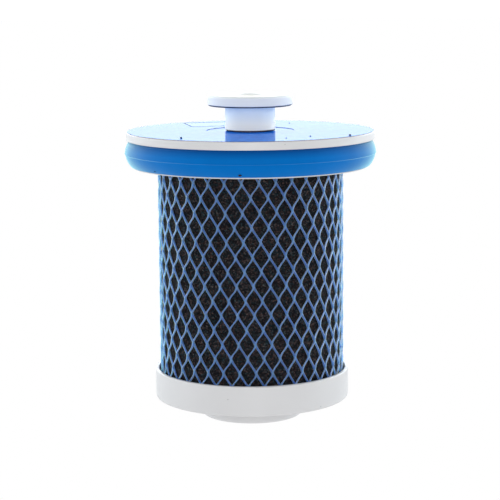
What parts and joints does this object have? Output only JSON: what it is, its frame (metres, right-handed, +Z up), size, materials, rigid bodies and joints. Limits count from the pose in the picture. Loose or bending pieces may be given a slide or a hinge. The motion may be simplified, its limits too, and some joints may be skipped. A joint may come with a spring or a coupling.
{
  "type": "pump water filter cartridge",
  "caption": "Carbon block water filter element in blue netting, with a footed cup, a round head with a blue seal ring and a push-pull outlet spout.",
  "frame": {"origin": "centre of the foot's bottom face", "axes": "+Z up along the cartridge's axis, from the foot to the outlet spout; X and Y are equivalent"},
  "size_m": [0.086, 0.086, 0.1121],
  "materials": {
    "white_plastic": "satin",
    "spout_plastic": "satin",
    "post_plastic": "satin",
    "blue_seal": "satin",
    "label_film": "gloss",
    "net_plastic": "satin",
    "carbon": "matte",
    "nonwoven": "matte",
    "core_plastic": "satin",
    "adhesive": "satin",
    "o_ring_rubber": "satin"
  },
  "bodies": {
    "cartridge": {"bottom_cap": "white_plastic", "bottom_potting": "adhesive", "core_tube": "core_plastic", "core_wrap": "nonwoven", "carbon_block": "carbon", "netting_sleeve": "net_plastic", "top_potting": "adhesive", "top_cup": "white_plastic", "seal_ring": "blue_seal", "top_disc": "white_plastic", "label_sticker": "label_film", "valve_post": "post_plastic", "spout_o_ring": "o_ring_rubber"},
    "spout": {"outlet_spout": "spout_plastic"}
  },
  "joints": [
    {"name": "spout_pull", "type": "slide", "parent": "cartridge", "child": "spout", "axis": [0, 0, 1], "range_m": [0, 0.0044]}
  ]
}
